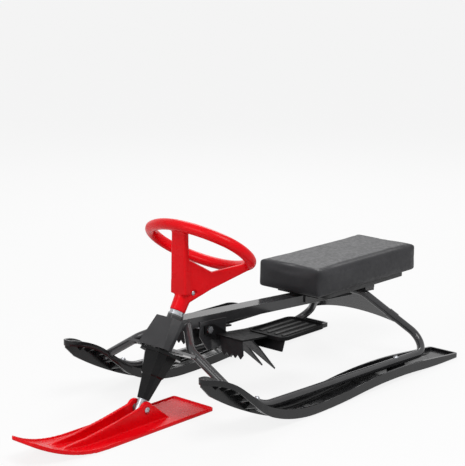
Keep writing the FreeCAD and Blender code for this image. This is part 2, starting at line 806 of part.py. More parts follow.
pivot_shank = Part.makeCylinder(pivot_bolt_radius, 2 * ridge_outer + pivot_nut_height,
                                Vector(pivot_x, -ridge_outer - pivot_nut_height, pivot_z), Vector(0, 1, 0))
pivot_dome = dome_head(Vector(pivot_x, ridge_outer, pivot_z), Vector(0, 1, 0), pivot_head_radius, pivot_head)
nodes["pivot_bolt"] = pivot_shank.fuse(pivot_dome).removeSplitter()
pivot_nut = hexagon(Vector(pivot_x, -ridge_outer, pivot_z), Vector(0, -1, 0), pivot_head_radius,
                    pivot_nut_height)
nodes["pivot_nut"] = pivot_nut.cut(pivot_shank)


def pivot_spacer():
    # A short sleeve on the bolt, coped to the column and clear of the ear.
    ring = Part.makeCylinder(pivot_head_radius, ridge_inner - face_gap, Vector(pivot_x, 0, pivot_z),
                             Vector(0, 1, 0))
    bore = Part.makeCylinder(pivot_hole_radius, 2 * ridge_inner, Vector(pivot_x, 0, pivot_z), Vector(0, 1, 0))
    coping = Part.makeCylinder(column_radius, 4 * ear_radius, Vector(0, 0, -2 * ear_radius))
    ring = ring.cut(raked(coping)).cut(bore)
    return max(ring.Solids, key=lambda piece: piece.CenterOfMass.y)


nodes["pivot_spacer_left"] = pivot_spacer()
nodes["pivot_spacer_right"] = mirrored(pivot_spacer())

# Rear skis

camber_start_x = rear_end_x + ski_heel_run
camber_quarter = (ski_camber_end_x - camber_start_x) / 4
past_tip_x = ski_tip_x + cut_overrun
level_stations = [(rear_end_x - cut_overrun, 0.0), (camber_start_x, 0.0),
                  (camber_start_x + camber_quarter, ski_camber_slope_deg),
                  (ski_camber_end_x - camber_quarter, -ski_camber_slope_deg), (ski_camber_end_x, 0.0),
                  (ski_upturn_x, 0.0)]
ski_stations = level_stations + [(ski_upturn_knee_x, ski_upturn_knee_deg), (past_tip_x, ski_tip_deg)]
rim_foot = level_stations + [(rim_start_x, rim_start_deg), (rim_rise_x, rim_rise_deg)]
rim_end = [(rim_ease_x, rim_ease_deg), (past_tip_x, rim_tip_deg)]
rim_stations = rim_foot + [(rim_steep_x, rim_steep_deg), (rim_crest_x, rim_crest_deg)] + rim_end
floor_stations = rim_foot + [(rim_steep_x, floor_steep_deg), (rim_crest_x, floor_crest_deg)] + rim_end


def ski_outline():
    half = ski_width / 2
    reach = ski_tip_x - ski_tip_round
    narrowing = half - ski_tip_half
    bend = ((reach - ski_taper_x) ** 2 + narrowing ** 2) / (2 * narrowing)
    half_turn = math.asin((reach - ski_taper_x) / bend) / 2
    heel_diagonal = ski_heel_corner * (1 - math.sqrt(2) / 2)
    edges = []
    for side in (-1, 1):
        heel_low = Vector(rear_end_x, side * (half - ski_heel_corner), 0)
        heel_mid = Vector(rear_end_x + heel_diagonal, side * (half - heel_diagonal), 0)
        heel_high = Vector(rear_end_x + ski_heel_corner, side * half, 0)
        taper = Vector(ski_taper_x, side * half, 0)
        bend_mid = Vector(ski_taper_x + bend * math.sin(half_turn),
                          side * (half - bend + bend * math.cos(half_turn)), 0)
        edges.append(Part.Arc(heel_low, heel_mid, heel_high).toShape())
        edges.append(Part.LineSegment(heel_high, taper).toShape())
        edges.append(Part.Arc(taper, bend_mid, Vector(reach, side * ski_tip_half, 0)).toShape())
    edges.append(Part.Arc(Vector(reach, -ski_tip_half, 0), Vector(ski_tip_x, 0, 0),
                          Vector(reach, ski_tip_half, 0)).toShape())
    heel_y = half - ski_heel_corner
    edges.append(Part.LineSegment(Vector(rear_end_x, -heel_y, 0), Vector(rear_end_x, heel_y, 0)).toShape())
    return Part.Wire(Part.__sortEdges__(edges))


ski_floor_middle = (ski_floor_low + ski_floor_high) / 2


def rim_curve(start_z):
    return [point for point, slope in curve_points(rim_stations, start_z)]


def floor_curve(start_z):
    return [point for point, slope in curve_points(floor_stations, start_z)]


def saddle(x):
    block = side_solid(floor_curve(ski_floor_middle), floor_curve(ski_floor_high + saddle_height),
                       -saddle_half_width, saddle_half_width)
    slice_x = box_between(x - saddle_length / 2, x + saddle_length / 2, -ski_width, ski_width,
                          -ski_span, ski_span)
    return block.common(slice_x)


def rear_ski_body():
    # A shallow trough whose walls climb ahead of the keel, which is what touches the ground.
    half = ski_width / 2
    outline = ski_outline()
    inner = outline.makeOffset2D(-ski_wall)
    outer_prism = plan_prism(outline, -cut_overrun, ski_span)
    inner_prism = plan_prism(inner, -cut_overrun, ski_span)
    walls = side_solid(floor_curve(ski_wall_low), rim_curve(ski_rim_high), -half, half).common(outer_prism)
    trough = side_solid(floor_curve(ski_floor_high), rim_curve(ski_rim_high + cut_overrun), -half, half)
    channels = side_solid(floor_curve(-cut_overrun), floor_curve(ski_floor_low), -half, half)
    keel_low = offset_points(ski_stations, 0)
    keel_high = floor_curve(ski_floor_middle)
    behind_tip = box_between(rear_end_x, keel_wide_x, -half, half, -ski_span, ski_span)
    nose_z = height_at(ski_stations, 0, ski_tip_x - keel_nose)
    below_nose = prism([Vector(ski_tip_x - keel_nose, -half, nose_z),
                        Vector(ski_tip_x + cut_overrun, -half, nose_z),
                        Vector(ski_tip_x + cut_overrun, -half, nose_z + keel_nose + cut_overrun)],
                       Vector(0, ski_width, 0))
    wide_keel = side_solid(keel_low, keel_high, -keel_half_width, keel_half_width).common(behind_tip)
    keel_blade = side_solid(keel_low, keel_high, -keel_blade_half, keel_blade_half).cut(below_nose)
    keel = wide_keel.fuse(keel_blade)
    rim_top = height_at(rim_stations, ski_rim_high, rear_end_x + heel_fall_length)
    above_heel = prism([Vector(rear_end_x, -half, heel_rim_high),
                        Vector(rear_end_x + heel_fall_length, -half, rim_top),
                        Vector(rear_end_x, -half, rim_top)], Vector(0, ski_width, 0))
    body = walls.cut(trough.common(inner_prism)).cut(channels.common(inner_prism)).cut(above_heel)
    return fused([body, keel.common(outer_prism), saddle(saddle_front_x), saddle(saddle_rear_x)])


# Side tubes, each one bent tube, coped to the beam

leg_top_z = beam_top_z(leg_top_x) - leg_top_drop
side_points = [Vector(leg_top_x, leg_top_y, leg_top_z), Vector(knee_x, knee_y, knee_z),
               Vector(ski_bend_x, ski_y, ski_bend_z), Vector(rail_front_x, ski_y, rail_front_z),
               Vector(rail_rear_x, ski_y, rail_rear_z),
               Vector(rear_leg_top_x, rear_leg_top_y, rear_leg_top_z),
               Vector(rear_leg_top_x, 0, rear_leg_end_z)]
side_bends = [knee_bend, ski_bend, rail_bend, rear_bend, rear_top_bend]
side_rod = bent_rod(side_points, side_bends, side_tube_radius)
side_bore = bent_rod(side_points, side_bends, side_tube_radius - side_tube_wall)


def rail_z(x):
    share = (x - rail_rear_x) / (rail_front_x - rail_rear_x)
    return rail_rear_z + (rail_front_z - rail_rear_z) * share


def leg_slope_z(x):
    share = (x - rail_front_x) / (ski_bend_x - rail_front_x)
    return rail_front_z + (ski_bend_z - rail_front_z) * share


ski_screw_places = {"front": (saddle_front_x, leg_slope_z(saddle_front_x)),
                    "rear": (saddle_rear_x, rail_z(saddle_rear_x))}


def ski_screw(x, tube_z):
    floor_z = height_at(rim_stations, ski_floor_low, x)
    top = tube_z + side_tube_radius
    shank = rod_between(Vector(x, ski_y, floor_z), Vector(x, ski_y, top + ski_screw_head / 2),
                        ski_screw_radius)
    head = dome_head(Vector(x, ski_y, top - ski_screw_head / 2), Vector(0, 0, 1), ski_screw_head_radius,
                     2 * ski_screw_head)
    return shank.fuse(head.cut(side_rod)).removeSplitter(), shank


ski_blank = rear_ski_body()
ski_blank.translate(Vector(0, ski_y, 0))
ski_blank = ski_blank.cut(side_rod)
beam_whole = beam_block(0, beam_rear_x, beam_front_x)
side_tube = side_rod.cut(side_bore).cut(beam_whole)
side_tube = max(side_tube.Solids, key=lambda piece: piece.Volume)
for place, (screw_x, tube_z) in ski_screw_places.items():
    screw, shank = ski_screw(screw_x, tube_z)
    ski_blank = ski_blank.cut(shank)
    side_tube = side_tube.cut(shank)
    nodes["ski_screw_left_" + place] = screw
    nodes["ski_screw_right_" + place] = mirrored(screw)
ski_blank = max(ski_blank.Solids, key=lambda piece: piece.Volume)
nodes["rear_ski_left"] = ski_blank
nodes["rear_ski_right"] = mirrored(ski_blank)

# The upper rear leg is a tube of its own, with a swaged socket over the end of the lower one
leg_top = Vector(rear_leg_top_x, rear_leg_top_y, rear_leg_top_z)
leg_run = Vector(rail_rear_x, ski_y, rail_rear_z) - leg_top
leg_joint = leg_top + leg_run * rear_joint_share
above_joint = Part.makeCylinder(6 * side_tube_radius, leg_run.Length, leg_joint, leg_run * -1)
socket_end = leg_joint - leg_run * (rear_socket_length / leg_run.Length)
rear_socket = rod_between(leg_joint, socket_end, side_tube_radius + rear_socket_wall).cut(side_rod)
rear_leg = fused([side_tube.common(above_joint), rear_socket])
side_tube = side_tube.cut(above_joint)
nodes["side_tube_left"] = side_tube
nodes["side_tube_right"] = mirrored(side_tube)
nodes["rear_leg_left"] = rear_leg
nodes["rear_leg_right"] = mirrored(rear_leg)

# Head brace plate and cowl


def brace_plate():
    corners = [Vector(-brace_half_depth, -beam_half_width, brace_bottom),
               Vector(-brace_end_half_depth, -brace_half_span, brace_bottom),
               Vector(brace_end_half_depth, -brace_half_span, brace_bottom),
               Vector(brace_half_depth, -beam_half_width, brace_bottom),
               Vector(brace_half_depth, beam_half_width, brace_bottom),
               Vector(brace_end_half_depth, brace_half_span, brace_bottom),
               Vector(-brace_end_half_depth, brace_half_span, brace_bottom),
               Vector(-brace_half_depth, beam_half_width, brace_bottom)]
    plate = raked(prism(corners, Vector(0, 0, brace_thick)))
    plate = plate.cut(head_outer_rod).cut(side_rod).cut(mirrored(side_rod))
    return max(plate.Solids, key=lambda piece: piece.Volume)


nodes["head_brace"] = brace_plate()


def cowl_section(height, share, inset):
    front = cowl_front_bottom + (cowl_front_top - cowl_front_bottom) * share - inset
    front_taper = (cowl_front_half_top - cowl_front_half_bottom) * share
    front_half = cowl_front_half_bottom + front_taper - inset
    side_half = cowl_side_half_bottom + (cowl_side_half_top - cowl_side_half_bottom) * share - inset
    side_front = cowl_side_front_bottom + (cowl_side_front_top - cowl_side_front_bottom) * share
    back = cowl_back_bottom + (cowl_back_top - cowl_back_bottom) * share - (cut_overrun if inset else 0)
    return polygon_wire([Vector(back, -side_half, height), Vector(side_front, -side_half, height),
                         Vector(front, -front_half, height), Vector(front, front_half, height),
                         Vector(side_front, side_half, height), Vector(back, side_half, height)])


def cowl_shell():
    outer = Part.makeLoft([cowl_section(cowl_bottom, 0, 0), cowl_section(cowl_top, 1, 0)], True, True)
    inner_low = cowl_section(cowl_bottom - cut_overrun, 0, cowl_wall)
    inner_mid = cowl_section(cowl_bottom, 0, cowl_wall)
    inner_high = cowl_section(cowl_top - cowl_wall, 1, cowl_wall)
    hollow = Part.makeLoft([inner_low, inner_mid, inner_high], True, True)
    placed = raked(outer.cut(hollow)).cut(head_long_rod).cut(beam_whole).cut(nodes["head_brace"])
    placed = placed.cut(side_rod).cut(mirrored(side_rod))
    return max(placed.Solids, key=lambda piece: piece.Volume)


nodes["cowl"] = cowl_shell()

# Rear gusset in the plane of the rear legs


def gusset_sheet():
    low = Vector(rail_rear_x, ski_y, rail_rear_z)
    high = Vector(rear_leg_top_x, rear_leg_top_y, rear_leg_top_z)
    along = high - low

    def on_leg(y, side):
        share = (low.y - y) / (low.y - high.y)
        return Vector(low.x + along.x * share, side * y, low.z + along.z * share)

    foot_left = on_leg(gusset_foot_y, 1)
    foot_right = on_leg(gusset_foot_y, -1)
    top_left = on_leg(rear_leg_top_y, 1)
    top_right = on_leg(rear_leg_top_y, -1)
    in_plane_up = Vector(along.x, 0, along.z).normalize()
    crown = (foot_left + foot_right) * 0.5 + in_plane_up * gusset_arch_rise
    outline = Part.Wire([Part.Arc(foot_right, crown, foot_left).toShape(),
                         Part.LineSegment(foot_left, top_left).toShape(),
                         Part.LineSegment(top_left, top_right).toShape(),
                         Part.LineSegment(top_right, foot_right).toShape()])
    across = Vector(-in_plane_up.z, 0, in_plane_up.x)
    face = Part.Face(outline)
    face.translate(across * (-gusset_thick / 2))
    sheet = face.extrude(across * gusset_thick)
    sheet = sheet.cut(side_rod).cut(mirrored(side_rod)).cut(beam_whole)
    sheet = sheet.cut(rear_socket).cut(mirrored(rear_socket))
    return max(sheet.Solids, key=lambda piece: piece.Volume)


nodes["rear_gusset"] = gusset_sheet()

# Seat: board, brackets, bolts and cushion

seat_front_x = seat_rear_x + seat_length
seat_bottom = beam_top_z(seat_front_x) + seat_rise
board_top = seat_bottom
board_bottom = seat_bottom - board_thick
board_wire = rounded_rectangle(seat_rear_x + board_end_inset, seat_front_x - board_end_inset,
                               seat_half_width - board_inset, board_corner, 0)
nodes["seat_board"] = plan_prism(board_wire, board_bottom, board_top)


def seat_bracket(x):
    # A channel across the beam that carries the board on its two flanges.
    low_x = x - seat_bracket_length / 2
    high_x = x + seat_bracket_length / 2
    low_z = beam_top_z(low_x) - seat_bracket_wall
    top = box_between(low_x, high_x, -seat_bracket_half_width, seat_bracket_half_width,
                      board_bottom - seat_bracket_wall, board_bottom)
    foot = box_between(low_x, high_x, -beam_half_width - seat_bracket_wall,
                       beam_half_width + seat_bracket_wall,
                       low_z - beam_height / 2, board_bottom)
    return fused([top, foot]).cut(beam_whole).cut(side_rod).cut(mirrored(side_rod))


seat_brackets = {"front": seat_front_x - seat_bracket_front_inset,
                 "rear": seat_rear_x + seat_bracket_rear_inset}
for place, bracket_x in seat_brackets.items():
    bracket = seat_bracket(bracket_x)
    for side_name, side in (("left", 1), ("right", -1)):
        foot = Vector(bracket_x, side * seat_bolt_y, board_bottom - seat_bracket_wall)
        tip = Vector(bracket_x, side * seat_bolt_y, board_bottom + seat_bolt_up)
        shank = rod_between(foot, tip, seat_bolt_radius)
        head = hexagon(foot, Vector(0, 0, -1), seat_bolt_head_radius, seat_bolt_head)
        nodes["seat_bolt_" + place + "_" + side_name] = shank.fuse(head).removeSplitter()
        bracket = bracket.cut(shank)
        nodes["seat_board"] = nodes["seat_board"].cut(shank)
    nodes["seat_bracket_" + place] = bracket

# Each layer of the cushion: share of the thickness, inset of the outline as a share of the thickness
cushion_layer_shares = ((0.0, 0.05), (0.06, 0.012), (0.2, 0.0), (0.6, 0.004), (0.86, 0.022), (0.94, 0.07),
                        (0.975, 0.18), (0.993, 0.45), (1.0, 0.8))


def cushion():
    layers = []
    for height_share, inset_share in cushion_layer_shares:
        inset = seat_thick * inset_share
        corner = seat_corner + inset / 4
        layers.append(rounded_rectangle(seat_rear_x + inset, seat_front_x - inset,
                                        seat_half_width - inset, corner,
                                        seat_bottom + seat_thick * height_share))
    return Part.makeLoft(layers, True, True)


nodes["seat_cushion"] = cushion()

# Brake bracket with the rod that both pedals hang on


def bracket_side():
    # One cheek of the bracket, from the beam down to its lower rear corner.
    corners = [Vector(bracket_rear_x, beam_half_width, beam_top_z(bracket_rear_x) - beam_height / 2),
               Vector(bracket_front_x, beam_half_width, beam_top_z(bracket_front_x) - beam_height / 2),
               Vector(bracket_front_x, beam_half_width, bracket_front_z),
               Vector(bracket_nose_x, beam_half_width, bracket_bottom_z),
               Vector(bracket_rear_x, beam_half_width, bracket_bottom_z)]
    return prism(corners, Vector(0, bracket_wall, 0))


pedal_start_y = beam_half_width + bracket_wall + face_gap
nut_start_y = pedal_start_y + arm_plate + face_gap
rod_half_length = nut_start_y + rod_nut_height
bracket_web = box_between(bracket_rear_x, bracket_rear_x + bracket_wall, -beam_half_width, beam_half_width,
                          bracket_bottom_z, beam_top_z(bracket_rear_x)).cut(beam_whole)
bracket_web = min(bracket_web.Solids, key=lambda piece: piece.CenterOfMass.z)
brake_bracket = fused([bracket_side(), mirrored(bracket_side()), bracket_web])
brake_rod = rod_between(Vector(rod_x, -rod_half_length, rod_z), Vector(rod_x, rod_half_length, rod_z),
                        rod_radius)
nodes["brake_bracket"] = brake_bracket.cut(brake_rod).cut(side_rod).cut(mirrored(side_rod))
nodes["brake_rod"] = brake_rod
for side_name, side in (("left", 1), ("right", -1)):
    nut = hexagon(Vector(rod_x, side * nut_start_y, rod_z), Vector(0, side, 0), rod_nut_radius,
                  rod_nut_height)
    nodes["rod_nut_" + side_name] = nut.cut(brake_rod)

# Brake pedals with blades and claws


def tread_plate():
    outline = rounded_rectangle(tread_rear_x, tread_front_x, (tread_outer_y - tread_inner_y) / 2,
                                tread_corner, 0)
    outline.translate(Vector(0, (tread_outer_y + tread_inner_y) / 2, 0))
    tray = plan_prism(outline, tread_bottom_z, tread_bottom_z + tread_rim_height)
    inner = outline.makeOffset2D(-tread_rim_wall)
    pocket = plan_prism(inner, tread_bottom_z + tread_thick, tread_bottom_z + tread_rim_height + cut_overrun)
    return tray.cut(pocket)


def tread_lip():
    # The folded front edge under the tread plate.
    front = tread_front_x - tread_corner / 2
    corners = [Vector(front, tread_inner_y + tread_corner, tread_bottom_z + tread_thick),
               Vector(front + tread_lip_lean, tread_inner_y + tread_corner,
                      tread_bottom_z - tread_lip_height),
               Vector(front + tread_lip_lean, tread_outer_y - tread_rim_wall,
                      tread_bottom_z - tread_lip_height),
               Vector(front, tread_outer_y - tread_rim_wall, tread_bottom_z + tread_thick)]
    return prism(corners, Vector(-tread_thick, 0, 0))


tongue_rear_x = tread_front_x - tread_corner


def tongue_low_z(x):
    share = (x - tongue_rear_x) / (tongue_front_x - tongue_rear_x)
    return tread_bottom_z + (tongue_front_z - tread_bottom_z) * share


def tread_tongue():
    # The narrower sheet from the tread forward to the arm.
    corners = [Vector(tongue_rear_x, pedal_start_y, tongue_low_z(tongue_rear_x)),
               Vector(tongue_front_x, pedal_start_y, tongue_low_z(tongue_front_x)),
               Vector(tongue_front_x, pedal_start_y, tongue_low_z(tongue_front_x) + tread_thick),
               Vector(tongue_rear_x, pedal_start_y, tongue_low_z(tongue_rear_x) + tread_thick)]
    return prism(corners, Vector(0, tongue_outer_y - pedal_start_y, 0))


def pedal_arm():
    # The upright plate that turns on the rod beside the bracket.
    corners = [Vector(rod_x + arm_ahead, pedal_start_y, rod_z - arm_front_drop),
               Vector(rod_x + arm_ahead, pedal_start_y, rod_z + arm_above),
               Vector(rod_x - arm_shoulder_behind, pedal_start_y, rod_z + arm_above),
               Vector(rod_x - arm_rear_behind, pedal_start_y, rod_z - arm_rear_high_drop),
               Vector(rod_x - arm_rear_behind, pedal_start_y, rod_z - arm_rear_low_drop),
               Vector(rod_x - arm_belly_behind, pedal_start_y, rod_z - arm_belly_drop)]
    return prism(corners, Vector(0, arm_plate, 0))


arm_bore = rod_between(Vector(rod_x, 0, rod_z), Vector(rod_x, rod_half_length, rod_z),
                       rod_radius + running_clearance)
pedal_blank = fused([tread_plate(), tread_lip(), tread_tongue(), pedal_arm()]).cut(arm_bore)


def toothed_strip(start_x, inner_y, outer_y, length, thick, slope_deg, teeth, depth):
    # A sheet that runs back and down from the underside of the tongue, with teeth along its lower end.
    step = (outer_y - inner_y) / teeth
    corners = [Vector(0, inner_y, 0)]
    for index in range(teeth):
        corners.append(Vector(-length + depth, inner_y + step * index, 0))
        corners.append(Vector(-length, inner_y + step * (index + 0.5), 0))
    corners.append(Vector(-length + depth, outer_y, 0))
    corners.append(Vector(0, outer_y, 0))
    strip = prism(corners, Vector(0, 0, thick))
    strip.translate(Vector(0, 0, -thick / 2))
    strip.rotate(Vector(0, 0, 0), Vector(0, 1, 0), -slope_deg)
    strip.translate(Vector(start_x, 0, tongue_low_z(start_x) + tread_thick / 2))
    return max(strip.cut(pedal_blank).Solids, key=lambda piece: piece.Volume)


blade = toothed_strip(tongue_front_x - blade_thick, blade_inner_y, blade_outer_y, blade_length, blade_thick,
                      blade_deg, blade_teeth, blade_tooth_depth)
claw = toothed_strip(claw_start_x, claw_inner_y, claw_outer_y, claw_length, claw_thick, claw_deg, claw_teeth,
                     claw_tooth_depth)
strip_step = (tread_outer_y - tread_inner_y) / (strip_count + 1)
strips = []
for index in range(strip_count):
    strip_y = tread_inner_y + strip_step * (index + 1)
    strips.append(box_between(strip_rear_x, strip_rear_x + strip_length, strip_y - strip_width / 2,
                              strip_y + strip_width / 2, tread_bottom_z + tread_thick,
                              tread_bottom_z + tread_thick + strip_height))
brake_pieces = {"pedal": pedal_blank, "brake_blade": blade, "brake_claw": claw}
for name, piece in brake_pieces.items():
    nodes[name + "_left"] = piece
    nodes[name + "_right"] = mirrored(piece)
for index, strip in enumerate(strips):
    nodes["tread_strip_left_%d" % (index + 1)] = strip
    nodes["tread_strip_right_%d" % (index + 1)] = mirrored(strip)

os.makedirs("parts", exist_ok=True)
centre_x = (front_tip_x + seat_rear_x) / 2
for name, shape in nodes.items():
    shape.translate(Vector(-centre_x, 0, 0))
    solids = shape.Solids
    whole = solids[0] if len(solids) == 1 else shape
    print(name, len(solids), "valid" if whole.isValid() else "NOT VALID", round(whole.Volume, 1))
    whole.exportStep("parts/" + name + ".step")
bounds = Part.makeCompound(list(nodes.values())).BoundBox
print("pieces", len(nodes), "box", bounds)
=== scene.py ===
import bpy, bmesh, json, math
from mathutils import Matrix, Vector, noise


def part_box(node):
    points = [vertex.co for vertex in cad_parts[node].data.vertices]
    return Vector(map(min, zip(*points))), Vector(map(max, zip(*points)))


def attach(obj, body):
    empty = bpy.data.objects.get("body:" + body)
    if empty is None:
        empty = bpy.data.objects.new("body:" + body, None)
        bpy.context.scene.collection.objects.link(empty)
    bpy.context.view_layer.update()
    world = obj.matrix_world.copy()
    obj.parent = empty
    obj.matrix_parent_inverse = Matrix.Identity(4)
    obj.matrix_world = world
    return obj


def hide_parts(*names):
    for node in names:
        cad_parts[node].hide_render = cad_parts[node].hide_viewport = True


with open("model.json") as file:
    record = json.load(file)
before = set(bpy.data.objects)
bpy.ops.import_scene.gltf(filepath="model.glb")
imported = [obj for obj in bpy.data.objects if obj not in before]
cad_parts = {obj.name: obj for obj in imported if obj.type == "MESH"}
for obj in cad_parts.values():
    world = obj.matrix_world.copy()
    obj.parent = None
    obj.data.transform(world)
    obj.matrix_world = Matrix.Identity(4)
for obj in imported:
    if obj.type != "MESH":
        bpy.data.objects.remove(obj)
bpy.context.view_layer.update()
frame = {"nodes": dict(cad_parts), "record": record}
nodes = frame["nodes"]
scene = bpy.context.scene
scene.view_settings.view_transform = "Standard"
print("sled loaded with", len(nodes), "solids")


# camera, floor and lamps

cameraSet = {
    "place": (2.3606, 2.0727, 1.0635), "turnDeg": (77.7945, -0.4831, 131.2585),
    "lens": 108.155, "sensor": 36, "reach": 200,
}
studioSet = {
    "floorSize": 90.0, "floorTone": (0.75, 0.75, 0.75, 1), "floorRough": 0.9, "floorWhite": 0.86,
    "skyTone": (1, 1, 1, 1), "skyLight": 0.34, "skySeen": 1.0,
}
lampSet = {
    "key": {"place": (0.9, 1.6, 3.2), "aim": (0.0, 0.0, 0.2), "size": 1.6, "watts": 76},
    "front": {"place": (3.2, -0.6, 1.7), "aim": (0.2, 0.0, 0.2), "size": 1.4, "watts": 28},
    "back": {"place": (-2.2, -1.6, 2.4), "aim": (-0.2, 0.0, 0.2), "size": 1.6, "watts": 39},
}


def noneSelected():
    if bpy.context.object and bpy.context.object.mode != "OBJECT":
        bpy.ops.object.mode_set(mode="OBJECT")
    bpy.ops.object.select_all(action="DESELECT")


def takeUp(piece):  # the only selected object, and the active one
    noneSelected()
    piece.select_set(True)
    bpy.context.view_layer.objects.active = piece


def placeCamera():
    noneSelected()
    turn = [math.radians(angle) for angle in cameraSet["turnDeg"]]
    bpy.ops.object.camera_add(location=cameraSet["place"], rotation=turn)
    camera = bpy.context.object
    camera.data.sensor_width = cameraSet["sensor"]
    camera.data.lens = cameraSet["lens"]
    camera.data.clip_end = cameraSet["reach"]
    scene.camera = camera


def placeLamps():
    for name, lamp in lampSet.items():
        noneSelected()
        aim = (Vector(lamp["aim"]) - Vector(lamp["place"])).to_track_quat("-Z", "Y").to_euler()
        bpy.ops.object.light_add(type="AREA", location=lamp["place"], rotation=aim)
        bpy.context.object.name = name + "Lamp"
        bpy.context.object.data.size = lamp["size"]
        bpy.context.object.data.energy = lamp["watts"]


def seenDirectly(tree):  # 1 for what the camera, a reflection or glass looks at, 0 for light on a surface
    path = tree.nodes.new("ShaderNodeLightPath")
    seen = path.outputs["Is Camera Ray"]
    for ray in ("Is Glossy Ray", "Is Transmission Ray"):
        either = tree.nodes.new("ShaderNodeMath")
        either.operation = "MAXIMUM"
        tree.links.new(seen, either.inputs[0])
        tree.links.new(path.outputs[ray], either.inputs[1])
        seen = either.outputs[0]
    return seen


def paintSky():
    world = bpy.data.worlds.new("studioSky")
    scene.world = world
    world.use_nodes = True
    tree = world.node_tree
    sky = tree.nodes["Background"]
    sky.inputs["Color"].default_value = studioSet["skyTone"]
    level = tree.nodes.new("ShaderNodeMapRange")
    level.inputs["To Min"].default_value = studioSet["skyLight"]
    level.inputs["To Max"].default_value = studioSet["skySeen"]
    tree.links.new(seenDirectly(tree), level.inputs["Value"])
    tree.links.new(level.outputs["Result"], sky.inputs["Strength"])


def layFloor():
    noneSelected()
    bpy.ops.mesh.primitive_plane_add(size=studioSet["floorSize"], location=(0, 0, 0))
    floor = bpy.context.object
    floor.name = "studioFloor"
    paper = bpy.data.materials.new("studioPaper")
    paper.use_nodes = True
    tree = paper.node_tree
    shader = tree.nodes["Principled BSDF"]
    shader.inputs["Base Color"].default_value = studioSet["floorTone"]
    shader.inputs["Roughness"].default_value = studioSet["floorRough"]
    glow = tree.nodes.new("ShaderNodeEmission")
    share = tree.nodes.new("ShaderNodeMath")
    share.operation = "MULTIPLY"
    share.inputs[1].default_value = studioSet["floorWhite"]
    tree.links.new(seenDirectly(tree), share.inputs[0])
    mix = tree.nodes.new("ShaderNodeMixShader")
    tree.links.new(share.outputs[0], mix.inputs["Fac"])
    tree.links.new(shader.outputs[0], mix.inputs[1])
    tree.links.new(glow.outputs[0], mix.inputs[2])
    tree.links.new(mix.outputs[0], tree.nodes["Material Output"].inputs["Surface"])
    floor.data.materials.append(paper)


placeCamera()
placeLamps()
paintSky()
layFloor()
print("camera, floor and lamps ready")


# finishes

shadeSpots = (0.3, 0.7)  # most of a noise texture's values lie between these
mixSockets = {"under": 6, "over": 7, "result": 2}  # colour sockets, whose names the number sockets share


def startFinish(name):
    finish = bpy.data.materials.new(name)
    finish.use_nodes = True
    tree = finish.node_tree
    place = tree.nodes.new("ShaderNodeTexCoord")
    return finish, tree, tree.nodes["Principled BSDF"], place.outputs["Object"]


def grain(tree, place, scale, detail, rough=0.5, stretch=(1, 1, 1)):
    stretched = tree.nodes.new("ShaderNodeMapping")
    stretched.inputs["Scale"].default_value = stretch
    tree.links.new(place, stretched.inputs["Vector"])
    speckle = tree.nodes.new("ShaderNodeTexNoise")
    speckle.inputs["Scale"].default_value = scale
    speckle.inputs["Detail"].default_value = detail
    speckle.inputs["Roughness"].default_value = rough
    tree.links.new(stretched.outputs[0], speckle.inputs["Vector"])
    return speckle.outputs["Fac"]


def pebbles(tree, place, scale):
    cells = tree.nodes.new("ShaderNodeTexVoronoi")
    cells.inputs["Scale"].default_value = scale
    tree.links.new(place, cells.inputs["Vector"])
    return cells.outputs["Distance"]


def shades(tree, source, dark, light):
    ramp = tree.nodes.new("ShaderNodeValToRGB")
    for element, spot, colour in zip(ramp.color_ramp.elements, shadeSpots, (dark, light)):
        element.position = spot
        element.color = (*colour, 1)
    tree.links.new(source, ramp.inputs["Fac"])
    return ramp.outputs["Color"]


def spread(tree, source, low, high, fromLow=shadeSpots[0], fromHigh=shadeSpots[1]):
    level = tree.nodes.new("ShaderNodeMapRange")
    level.inputs["From Min"].default_value = fromLow
    level.inputs["From Max"].default_value = fromHigh
    level.inputs["To Min"].default_value = low
    level.inputs["To Max"].default_value = high
    tree.links.new(source, level.inputs["Value"])
    return level.outputs["Result"]


def blended(tree, share, under, over):
    mix = tree.nodes.new("ShaderNodeMix")
    mix.data_type = "RGBA"
    tree.links.new(share, mix.inputs["Factor"])
    tree.links.new(under, mix.inputs[mixSockets["under"]])
    mix.inputs[mixSockets["over"]].default_value = (*over, 1)
    return mix.outputs[mixSockets["result"]]


def coloured(tree, shader, source):
    tree.links.new(source, shader.inputs["Base Color"])


def roughened(tree, shader, source, low, high):
    tree.links.new(spread(tree, source, low, high), shader.inputs["Roughness"])


def embossed(tree, shader, source, strength, depth, under=None):
    bump = tree.nodes.new("ShaderNodeBump")
    bump.inputs["Strength"].default_value = strength
    bump.inputs["Distance"].default_value = depth
    tree.links.new(source, bump.inputs["Height"])
    if under:
        tree.links.new(under, bump.inputs["Normal"])
    tree.links.new(bump.outputs["Normal"], shader.inputs["Normal"])
    return bump.outputs["Normal"]


def makeRedMoulding():
    red, tree, shader, place = startFinish("redMoulding")
    tint = shades(tree, grain(tree, place, scale=11, detail=3), (0.68, 0.001, 0.004), (0.8, 0.002, 0.008))
    # lighter pinkish streaks: partly scuffs, partly painted reflection standing in for the mottled
    # highlights on the red plastic
    streaks = grain(tree, place, scale=60, detail=6, rough=0.7, stretch=(0.3, 2.4, 2.4))
    scuffAndPaintedReflection = spread(tree, streaks, low=0.0, high=0.3, fromLow=0.6, fromHigh=0.82)
    coloured(tree, shader, blended(tree, scuffAndPaintedReflection, tint, over=(0.8, 0.05, 0.065)))
    roughened(tree, shader, grain(tree, place, scale=38, detail=4), low=0.22, high=0.36)
    shader.inputs["Specular IOR Level"].default_value = 0.14
    embossed(tree, shader, grain(tree, place, scale=420, detail=2), strength=0.06, depth=0.0004)
    return red


